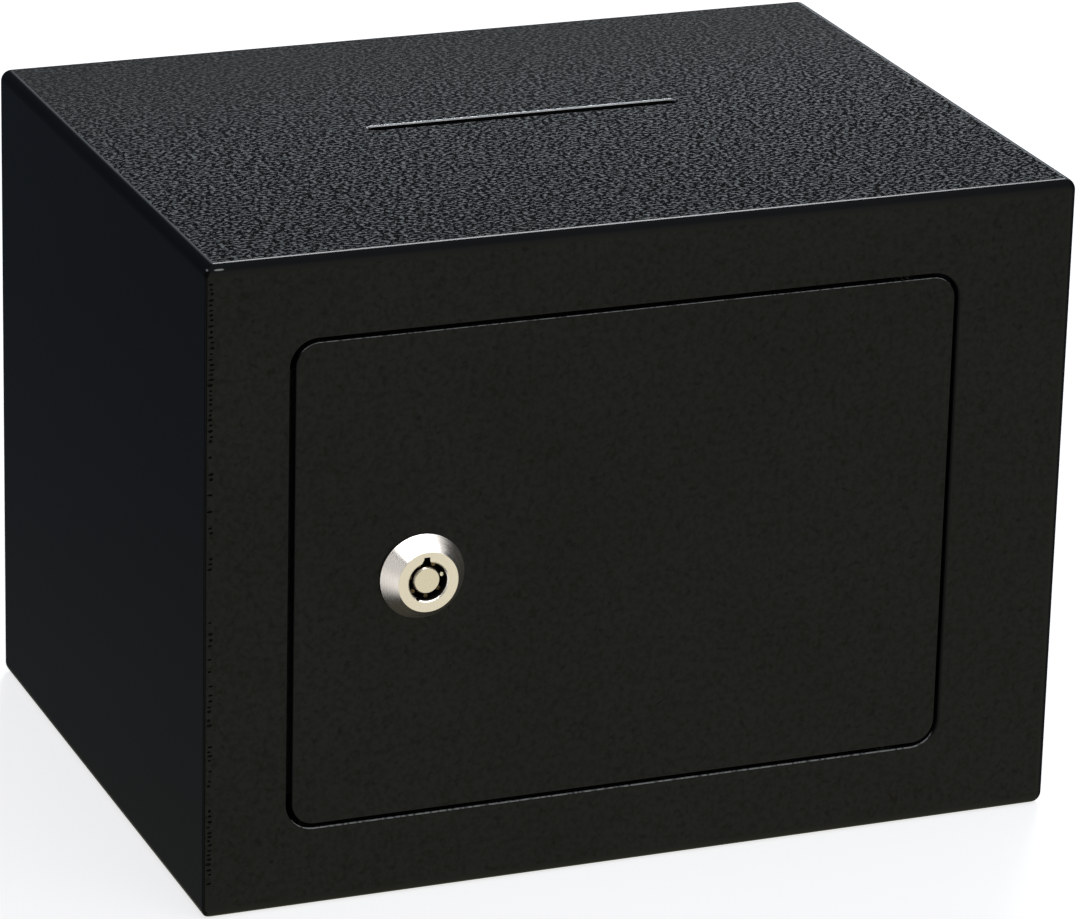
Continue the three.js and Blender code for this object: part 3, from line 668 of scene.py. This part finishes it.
def weld_pits():
    """Small hollows left by the welder down the front's left edge, dense near its ends and sparse between."""
    draw = random.Random(7)
    mesh = bmesh.new()
    z = SHELL_HIGH.z - PITS_FROM
    while z > SHELL_LOW.z + PATCH_LEG:
        dense = z > PITS_DENSE_ABOVE or z < PITS_DENSE_BELOW
        if draw.random() < (PITS_DENSE if dense else PITS_SPARSE):
            at = Vector((SHELL_LOW.x + PIT_INSET + draw.uniform(-0.25, 0.25) * MM, FRONT, z))
            width, depth, height = draw.uniform(0.8, 1.5), draw.uniform(0.6, 0.9), draw.uniform(0.45, 0.85)
            size = Vector((width, depth, height)) * PIT_R
            place = Matrix.Translation(at) @ Matrix.Diagonal((*size, 1.0))
            bmesh.ops.create_icosphere(mesh, subdivisions=2, radius=1.0, matrix=place)
        z -= draw.uniform(1.05, 1.6) * MM
    return add_object("weld_pits", mesh)


def clamped(share):
    return min(max(share, 0.0), 1.0)


def shell_edge(edge):
    """The share of LIP_R that an edge of the cabinet's sheet is rounded by."""
    if lies_at(edge, 1, FRONT):
        middle = (edge.verts[0].co + edge.verts[1].co) / 2
        sill = clamped((DOOR_LOW.z + DOOR_CORNER_R - middle.z) / DOOR_CORNER_R)
        hinge_side = clamped((middle.x - DOOR_HIGH.x + DOOR_CORNER_R) / DOOR_CORNER_R)
        return max(LIP_SHARE, hinge_side, SILL_SHARE * sill)
    return (SLOT_RIM_R if lies_at(edge, 2, SHELL_HIGH.z) else EDGE_R) / LIP_R


def body_shell():
    """The folded cabinet with its doorway, coin slot, rear opening and anchor holes."""
    shell = folded_block("cabinet_shell", 0.0)
    boolean(shell, folded_block("inside", SHEET))
    boolean(shell, doorway("flange", SHEET, FRONT + SHEET / 2, FRONT + DOOR_SIZE.y), "UNION")
    boolean(shell, doorway("door_hole", 0.0, FRONT - THROUGH, FRONT + 2 * DOOR_SIZE.y))
    top = SHELL_HIGH.z
    slot = rounded_rect(SLOT_LENGTH, SLOT_WIDTH, SLOT_WIDTH / 2 - 0.01 * MM, (SLOT_X, SLOT_Y), steps=10)
    boolean(shell, prism("slot", slot, top - THROUGH, top + THROUGH))
    size = SHELL_HIGH - SHELL_LOW
    rear = rounded_rect(
        size.x - 2 * REAR_FLANGE, size.z - 2 * REAR_FLANGE, REAR_OPENING_R, (0.0, size.z / 2)
    )
    boolean(shell, prism("rear", rear, SHELL_HIGH.y - THROUGH, SHELL_HIGH.y + THROUGH, XZ))
    for side in (-1, 1):
        hole = ring(ANCHOR_R, centre=(side * ANCHOR_SPACING / 2, 0.0))
        boolean(shell, prism("anchor", hole, -THROUGH, THROUGH))

    edge_weights(shell, shell_edge)
    bevel(shell, LIP_R, 6, "WEIGHT", clamp=False)
    apply_modifiers(shell)
    boolean(shell, weld_pits())
    smooth(shell)
    finish_piece(shell, "cabinet", "body_shell", MATERIALS["black_paint"])
    paint_slot, pit_shade_slot, rim_highlight_slot = range(3)
    shell.data.materials.append(MATERIALS["pit_painted_shade"])
    shell.data.materials.append(MATERIALS["rim_painted_highlight"])
    for polygon in shell.data.polygons:
        # Faces in the welder's hollows get near black coat: painted shade.
        if in_pit(polygon.center):
            polygon.material_index = pit_shade_slot
        # The slot's rear rim gets pale metal: a painted highlight.
        elif on_slot_highlight_rim(polygon):
            polygon.material_index = rim_highlight_slot
        else:
            polygon.material_index = paint_slot


def on_slot_highlight_rim(polygon):
    """True for a face on the coin slot's rounded rear rim that faces up and forward, which is given pale bare
    metal as a painted highlight.
    """
    centre = polygon.center
    in_slot = abs(centre.x - SLOT_X) < SLOT_LENGTH / 2 + MM and abs(centre.y - SLOT_Y) < SLOT_WIDTH / 2 + MM
    return in_slot and centre.z > SHELL_HIGH.z - SLOT_RIM_R and -0.95 < polygon.normal.y < -0.2


def in_pit(centre):
    """True for a face inside one of the welder's hollows."""
    sunk = centre.y - FRONT
    return abs(centre.x - SHELL_LOW.x - PIT_INSET) < PIT_REACH and 0.005 * MM < sunk < PIT_R


def floor_mat():
    """The felt mat: a thin sheet that lies on the cabinet's floor, with a hole over each anchor hole."""
    low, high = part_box("floor_mat")
    size, centre = high - low, (high + low) / 2
    across, along = (round(side / MAT_CELL) for side in (size.x, size.y))
    mesh = bmesh.new()
    bmesh.ops.create_grid(mesh, x_segments=across, y_segments=along, size=0.5)
    place = Matrix.Translation((centre.x, centre.y, low.z)) @ Matrix.Diagonal((size.x, size.y, 1.0, 1.0))
    mesh.transform(place)
    sheet = add_object("felt_mat", mesh)
    thick = sheet.modifiers.new("thick", "SOLIDIFY")
    thick.thickness = size.z - MAT_FLUFF
    thick.offset = 1.0
    apply_modifiers(sheet)
    outline = rounded_rect(size.x - MAT_TRIM, size.y - MAT_TRIM, MAT_CORNER_R, (centre.x, centre.y))
    boolean(sheet, prism("mat_outline", outline, low.z - THROUGH, high.z + THROUGH), "INTERSECT")
    for side in (-1, 1):
        hole = ring(MAT_HOLE_R, centre=(side * ANCHOR_SPACING / 2, 0.0))
        boolean(sheet, prism("mat_hole", hole, low.z - THROUGH, high.z + THROUGH))
    middle = (low.z + high.z) / 2
    for vertex in sheet.data.vertices:
        if vertex.co.z > middle:
            waves = (height * mathutils.noise.noise(vertex.co * scale) for scale, height in MAT_WAVES)
            vertex.co.z += sum(waves)
    bevel(sheet, MAT_EDGE_R, 3)
    apply_modifiers(sheet)
    smooth(sheet)
    finish_piece(sheet, "cabinet", "floor_mat", MATERIALS["felt"])


# ---------------------------------------------------------------- door


def door_plate():
    """The flush steel door, with the hole for the lock's barrel."""
    outline = rounded_rect(DOOR_SIZE.x, DOOR_SIZE.z, DOOR_CORNER_R, (DOOR_CENTRE.x, DOOR_CENTRE.z), steps=12)
    plate = prism("door_panel", outline, DOOR_LOW.y, DOOR_HIGH.y, XZ)
    hole = ring(BARREL_HOLE_R, 64, (LOCK_X, LOCK_Z))
    boolean(plate, prism("lock_hole", hole, DOOR_LOW.y - THROUGH, DOOR_HIGH.y + THROUGH, XZ))
    edge_weights(plate, lambda edge: 1.0 if lies_at(edge, 1, FRONT) else DOOR_BACK_SHARE)
    bevel(plate, DOOR_EDGE_R, 5, "WEIGHT", clamp=False)
    apply_modifiers(plate)
    smooth(plate)
    finish_piece(plate, "door", "door_plate", MATERIALS["black_paint"])


# ---------------------------------------------------------------- lock


def at_lock(depth=0.0):
    """A point on the lock's axis, that far behind the front face."""
    return (LOCK_X, FRONT + depth, LOCK_Z)


def clock(angle, radius):
    """The (x, z) of a point on the lock's face, by its angle clockwise from the top, seen from in front."""
    return LOCK_X + radius * math.sin(angle), LOCK_Z + radius * math.cos(angle)


def lock_housing():
    """The bevelled head and the barrel, with the key's notch and a small groove in the mouth."""
    profile = [
        (MOUTH_R, -HEAD_PROUD + MOUTH_CHAMFER),
        (MOUTH_R + MOUTH_CHAMFER, -HEAD_PROUD),
        (FACE_R, -HEAD_PROUD),
        (HEAD_R, -HEAD_RIM),
        (HEAD_R, -HEAD_SEAT),
        (BARREL_R, -HEAD_SEAT),
        (BARREL_R, BARREL_END - BARREL_CHAMFER),
        (BARREL_R - BARREL_CHAMFER, BARREL_END),
        (BORE_R, BARREL_END),
        (BORE_R, SHOULDER),
        (MOUTH_R, SHOULDER),
    ]
    housing = revolve("lock_head", profile, at_lock(), steps=128)
    notch = [(LOCK_X + x * MM, LOCK_Z + z * MM) for x, z in NOTCH]
    groove = ring(GROOVE_R, 16, clock(GROOVE_ANGLE, MOUTH_R - GROOVE_SUNK))
    for name, outline, (low, high) in (("notch", notch, NOTCH_DEPTHS), ("groove", groove, GROOVE_DEPTHS)):
        boolean(housing, prism(name, outline, FRONT + low, FRONT + high, XZ))
    smooth(housing)
    return finish_piece(housing, "door", "lock_housing", MATERIALS["chrome"])


def pin_angle(index):
    return (index + 0.5) * 2 * math.pi / PIN_COUNT


def lock_spindle():
    """The centre post, the rotor with the pins' holes and the tail with its two flats."""
    low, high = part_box("lock_spindle")
    front, back = low.y - FRONT, high.y - FRONT
    profile = [
        (0.0, front),
        (POST_R - POST_CHAMFER, front),
        (POST_R, front + POST_CHAMFER),
        (POST_R, ROTOR_FRONT),
        (ROTOR_R, ROTOR_FRONT),
        (ROTOR_R, ROTOR_BACK),
        (TAIL_R, ROTOR_BACK),
        (TAIL_R, back),
        (TAIL_BORE_R, back),
        (TAIL_BORE_R, back - TAIL_BORE_DEPTH),
        (0.0, back - TAIL_BORE_DEPTH),
    ]
    spindle = revolve("lock_core", profile, at_lock(), edge=0.18 * MM)
    for index in range(PIN_COUNT):
        hole = ring(PIN_HOLE_R, 20, clock(pin_angle(index), PIN_RING_R))
        boolean(spindle, prism("pin_hole", hole, FRONT + ROTOR_FRONT - MM, FRONT + PIN_HOLE_END, XZ))
    turned = Matrix.Rotation(math.radians(45), 2)
    for side in (-1, 1):
        reach = TAIL_R / 2
        flat = rounded_rect(2 * reach, 3 * TAIL_R, 0.1 * MM, (side * (TAIL_FLAT + reach), 0.0), steps=1)
        outline = [turned @ Vector(point) + Vector((LOCK_X, LOCK_Z)) for point in flat]
        boolean(spindle, prism("flat", outline, FRONT + ROTOR_BACK + TAIL_NECK, FRONT + back + MM, XZ))
    smooth(spindle)
    return finish_piece(spindle, "lock_core", "lock_spindle", MATERIALS["nickel"])


def lock_pins():
    """The driver pins in the ring-shaped keyway, which it returns, and the round-wire springs behind them."""
    pins = []
    for index in range(PIN_COUNT):
        number = index + 1
        x, z = clock(pin_angle(index), PIN_RING_R)
        low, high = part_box(f"lock_pin_{number}")
        end = high.y - low.y
        profile = [(0.0, 0.0), (PIN_R - PIN_NOSE, 0.0), (PIN_R, PIN_NOSE), (PIN_R, end), (0.0, end)]
        pin = revolve(f"driver_pin_{number}", profile, (x, low.y, z), steps=24, edge=0.3 * MM)
        smooth(pin)
        # One pin gets bright metal as lit and the rest dark brass as shaded: painted light and shade.
        painted_light_finish = MATERIALS["lit_pin_nickel" if index == LIT_PIN else "brass"]
        finish_piece(pin, f"lock_pin_{number}", f"lock_pin_{number}", painted_light_finish)
        low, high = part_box(f"pin_spring_{number}")
        spring = coil(f"driver_spring_{number}", (x, z), low.y, high.y)
        finish_piece(spring, "lock_core", f"pin_spring_{number}", MATERIALS["steel"])
        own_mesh(spring)
        pins.append(pin)
    return pins


def coil_rise(t):
    """How far along its length the wire has got at the share t of its turns. Both ends are wound close."""
    if t < SPRING_CLOSED:
        return SPRING_CLOSED_RISE * t / SPRING_CLOSED
    if t > 1 - SPRING_CLOSED:
        return 1 - SPRING_CLOSED_RISE * (1 - t) / SPRING_CLOSED
    return SPRING_CLOSED_RISE + (1 - 2 * SPRING_CLOSED_RISE) * (t - SPRING_CLOSED) / (1 - 2 * SPRING_CLOSED)


def coil(name, centre, low, high):
    """A compression spring of round wire along Y."""
    sides, per_turn = 8, 20
    radius = PIN_R - SPRING_WIRE_R - 0.02 * MM
    steps = SPRING_TURNS * per_turn
    travel = high - low - 2 * SPRING_WIRE_R
    along = Vector((0.0, 1.0, 0.0))
    mesh = bmesh.new()
    sections = []
    for step in range(steps + 1):
        t = step / steps
        angle = 2 * math.pi * SPRING_TURNS * t
        outward = Vector((math.cos(angle), 0.0, math.sin(angle)))
        on_axis = Vector((centre[0], low + SPRING_WIRE_R + travel * coil_rise(t), centre[1]))
        middle = on_axis + outward * radius
        section = []
        for side in range(sides):
            turn = 2 * math.pi * side / sides
            spoke = outward * math.cos(turn) + along * math.sin(turn)
            section.append(mesh.verts.new(middle + spoke * SPRING_WIRE_R))
        sections.append(section)
    for here, after in zip(sections, sections[1:]):
        for side in range(sides):
            other = (side + 1) % sides
            mesh.faces.new((here[side], here[other], after[other], after[side]))
    mesh.faces.new(sections[0])
    mesh.faces.new(reversed(sections[-1]))
    bmesh.ops.recalc_face_normals(mesh, faces=mesh.faces)
    spring = add_object(name, mesh)
    for polygon in spring.data.polygons:
        polygon.use_smooth = len(polygon.vertices) == 4
    return spring


# ---------------------------------------------------------------- carried-over CAD pieces


def dress_cad_nodes():
    """Materials, rounded edges and smooth shading for the CAD pieces that stay."""
    for subpart in frame["record"]["subparts"]:
        piece = frame["nodes"][subpart["node"]]
        if piece.hide_render:
            continue
        piece.data.materials.clear()
        slot = subpart["material_slot"]
        piece.data.materials.append(MATERIALS["bolt_chrome" if slot == "chrome" else slot])
        weld = piece.modifiers.new("weld", "WELD")
        weld.merge_threshold = 0.001 * MM
        bevel(piece, CAD_EDGE_R, 2)
        smooth(piece)


# ---------------------------------------------------------------- stage, light and camera


def add_camera():
    """The camera of the main view. It looks to the right of +Y by its azimuth and down by its dip."""
    data = bpy.data.cameras.new("camera")
    data.lens = CAMERA_LENS
    data.sensor_width = SENSOR
    data.clip_start = 0.05
    camera = bpy.data.objects.new("camera", data)
    scene.collection.objects.link(camera)
    azimuth, dip = math.radians(CAMERA_AZIMUTH), math.radians(CAMERA_DIP)
    look = Vector((math.sin(azimuth) * math.cos(dip), math.cos(azimuth) * math.cos(dip), -math.sin(dip)))
    turn = look.to_track_quat("-Z", "Y").to_matrix()
    roll = Matrix.Rotation(math.radians(CAMERA_ROLL), 3, "Z")
    camera.matrix_world = Matrix.Translation(CAMERA_AT) @ (turn @ roll).to_4x4()
    scene.camera = camera


def add_floor():
    """A white floor that the camera sees, and that lights and mirrors nothing."""
    mesh = bmesh.new()
    bmesh.ops.create_grid(mesh, x_segments=1, y_segments=1, size=FLOOR_HALF)
    floor = add_object("floor", mesh)
    material, tree, shader = new_material("pale_floor")
    connect(tree, shader, {
        "Base Color": (FLOOR_WHITE, FLOOR_WHITE, FLOOR_WHITE, 1.0),
        "Roughness": 0.9,
        "Specular IOR Level": 0.0,
        "Emission Color": (1.0, 1.0, 1.0, 1.0),
        "Emission Strength": FLOOR_GLOW,
    })
    floor.data.materials.append(material)
    floor.location.z = -FLOOR_DROP
    floor.visible_glossy = False
    floor.visible_diffuse = False


def add_softbox(name, at, target, size, power, colour):
    data = bpy.data.lights.new(name, "AREA")
    data.shape = "RECTANGLE"
    data.size, data.size_y = size
    data.energy = power
    data.color = colour
    light = bpy.data.objects.new(name, data)
    scene.collection.objects.link(light)
    light.location = at
    light.rotation_euler = (Vector(target) - Vector(at)).to_track_quat("-Z", "Y").to_euler()
    light.visible_camera = False
    return light


def lobe(tree, direction, toward, inner, outer, strength):
    """A patch of light in the world, even within the inner angle and gone beyond the outer, in degrees."""
    facing = node(tree, "ShaderNodeVectorMath", {0: direction, 1: Vector(toward).normalized()},
                  operation="DOT_PRODUCT").outputs["Value"]
    edge_low, edge_high = (math.cos(math.radians(angle)) for angle in (outer, inner))
    return scaled(tree, strength, band(tree, facing, edge_low, edge_high))


def add_world():
    """White for the camera. Reflections see a dark room with the patches of light in WORLD_LOBES."""
    world = bpy.data.worlds.new("studio")
    scene.world = world
    world.use_nodes = True
    tree = world.node_tree
    tree.nodes.clear()
    direction = node(tree, "ShaderNodeTexCoord").outputs["Generated"]
    total = WORLD_BASE
    for toward, inner, outer, strength in WORLD_LOBES:
        patch = lobe(tree, direction, toward, inner, outer, strength)
        total = vector_math(tree, "ADD", total, patch)
    studio = node(tree, "ShaderNodeBackground", {"Color": total})
    backdrop = node(tree, "ShaderNodeBackground", {"Color": (1.0, 1.0, 1.0, 1.0)})
    path = node(tree, "ShaderNodeLightPath")
    mix = node(tree, "ShaderNodeMixShader", {
        0: path.outputs["Is Camera Ray"], 1: studio.outputs[0], 2: backdrop.outputs[0],
    })
    node(tree, "ShaderNodeOutputWorld", {"Surface": mix.outputs[0]})


def light_lock(pieces):
    """A large softbox over the lock and one at its left, which light the lock's metal alone."""
    lit = bpy.data.collections.new("lock_metal")
    for piece in pieces:
        lit.objects.link(piece)
    target = at_lock(-HEAD_PROUD)
    for name, toward, size, power, colour in LOCK_LIGHTS:
        at = Vector(target) + Vector(toward).normalized() * LOCK_LIGHT_DISTANCE
        light = add_softbox(name, at, target, size, power, colour)
        light.light_linking.receiver_collection = lit


# ---------------------------------------------------------------- assembly

body_shell()
floor_mat()
door_plate()
lock_pieces = [lock_housing(), lock_spindle(), *lock_pins()]
dress_cad_nodes()
add_floor()
add_world()
light_lock(lock_pieces)
add_camera()
scene.view_settings.view_transform = "Standard"
